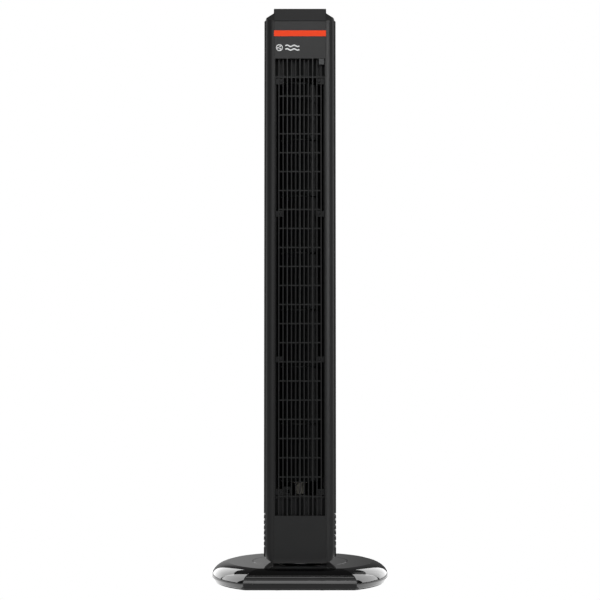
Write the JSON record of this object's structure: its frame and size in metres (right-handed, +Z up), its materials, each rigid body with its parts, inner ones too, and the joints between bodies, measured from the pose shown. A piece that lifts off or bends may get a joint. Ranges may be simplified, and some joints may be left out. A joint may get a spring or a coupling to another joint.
{
  "type": "tower fan",
  "caption": "Tall slim tower fan: a charcoal column with a barred front outlet, louvred back and orange trim band, swinging on a low glossy base with flat front and back.",
  "frame": {"origin": "on the floor under the swing axis, at the centre of the base's footprint", "axes": "+Z up along the swing axis, the air outlet faces -Y, +X to the right when facing the outlet"},
  "size_m": [0.3112, 0.2518, 1.0167],
  "materials": {
    "gloss_black": "high gloss black ABS",
    "charcoal_plastic": "satin charcoal ABS",
    "black_plastic": "fine matt black ABS",
    "accent_orange": "satin orange trim",
    "display_lens": "smoked display lens",
    "deck_plastic": "satin charcoal ABS",
    "button_plastic": "soft satin",
    "sensor_window": "smoked infrared window",
    "inner_plastic": "moulded black",
    "panel_grey": "moulded grey",
    "steel": "zinc plated steel",
    "black_steel": "blackened steel",
    "zinc_can": "pressed galvanised steel",
    "copper": "enamelled copper wire",
    "bronze": "sintered bronze",
    "rubber": "soft black rubber",
    "iron": "raw casting",
    "nylon": "natural nylon",
    "circuit_board": "green solder mask",
    "component_black": "moulded component"
  },
  "bodies": {
    "base": {"base_cover": "gloss_black", "base_pan": "gloss_black", "base_screws": "steel", "rubber_feet": "rubber", "ballast_plates": "iron", "glide_ring": "nylon", "cord_grommet": "rubber", "pivot_retainer": "steel", "retainer_screws": "steel", "ring_gear": "nylon"},
    "column": {"accent_band": "accent_orange", "air_duct": "inner_plastic", "bearing_bush": "bronze", "bearing_rubber": "rubber", "control_board": "circuit_board", "control_deck": "deck_plastic", "display_lens": "display_lens", "display_module": "circuit_board", "fascia": "charcoal_plastic", "foot_plate": "steel", "foot_screws": "steel", "front_housing": "charcoal_plastic", "guard_grid": "black_plastic", "guard_screws": "black_steel", "handle_cup": "black_plastic", "left_intake_grille": "black_plastic", "lower_end_panel": "panel_grey", "motor_housing": "zinc_can", "motor_mounts": "rubber", "motor_plate": "steel", "motor_screws": "steel", "motor_stator": "steel", "motor_windings": "copper", "power_board": "circuit_board", "rear_left_intake_grille": "black_plastic", "rear_right_intake_grille": "black_plastic", "rear_shell": "black_plastic", "run_capacitor": "component_black", "sensor_receiver": "inner_plastic", "sensor_window": "sensor_window", "shell_screws": "black_steel", "swing_motor": "zinc_can", "swing_screws": "steel", "tact_switches": "component_black", "turntable": "gloss_black", "upper_end_panel": "panel_grey"},
    "wheel": {"impeller": "inner_plastic", "lower_hub": "nylon", "hub_screw": "steel", "motor_shaft": "steel", "motor_rotor": "steel", "top_spindle": "steel"},
    "swing_pinion": {"swing_pinion": "nylon", "pinion_shaft": "steel"},
    "power_button": {"power_button": "button_plastic"},
    "speed_button": {"speed_button": "button_plastic"},
    "mode_button": {"mode_button": "button_plastic"},
    "swing_button": {"swing_button": "button_plastic"},
    "timer_button": {"timer_button": "button_plastic"}
  },
  "joints": [
    {"name": "column_swing", "type": "hinge", "parent": "base", "child": "column", "pos_m": [0, 0, 0.037], "axis": [0, 0, 1], "range_deg": [-40, 40]},
    {"name": "pinion_turn", "type": "hinge", "parent": "column", "child": "swing_pinion", "pos_m": [0, 0.039, 0.012], "axis": [0, 0, 1], "range_deg": [-110, 110]},
    {"name": "wheel_spin", "type": "hinge", "parent": "column", "child": "wheel", "pos_m": [0, 0.001, 0.5], "axis": [0, 0, 1], "continuous": true},
    {"name": "power_press", "type": "slide", "parent": "column", "child": "power_button", "axis": [0, 0, -1], "range_m": [0, 0.001], "stiffness_N_per_m": 1500, "springref_m": -0.0008},
    {"name": "speed_press", "type": "slide", "parent": "column", "child": "speed_button", "axis": [0, 0, -1], "range_m": [0, 0.001], "stiffness_N_per_m": 1500, "springref_m": -0.0008},
    {"name": "mode_press", "type": "slide", "parent": "column", "child": "mode_button", "axis": [0, 0, -1], "range_m": [0, 0.001], "stiffness_N_per_m": 1500, "springref_m": -0.0008},
    {"name": "swing_press", "type": "slide", "parent": "column", "child": "swing_button", "axis": [0, 0, -1], "range_m": [0, 0.001], "stiffness_N_per_m": 1500, "springref_m": -0.0008},
    {"name": "timer_press", "type": "slide", "parent": "column", "child": "timer_button", "axis": [0, 0, -1], "range_m": [0, 0.001], "stiffness_N_per_m": 1500, "springref_m": -0.0008}
  ],
  "couplings": [
    {"joint": "pinion_turn", "follows": "column_swing", "ratio": 2.7143}
  ]
}
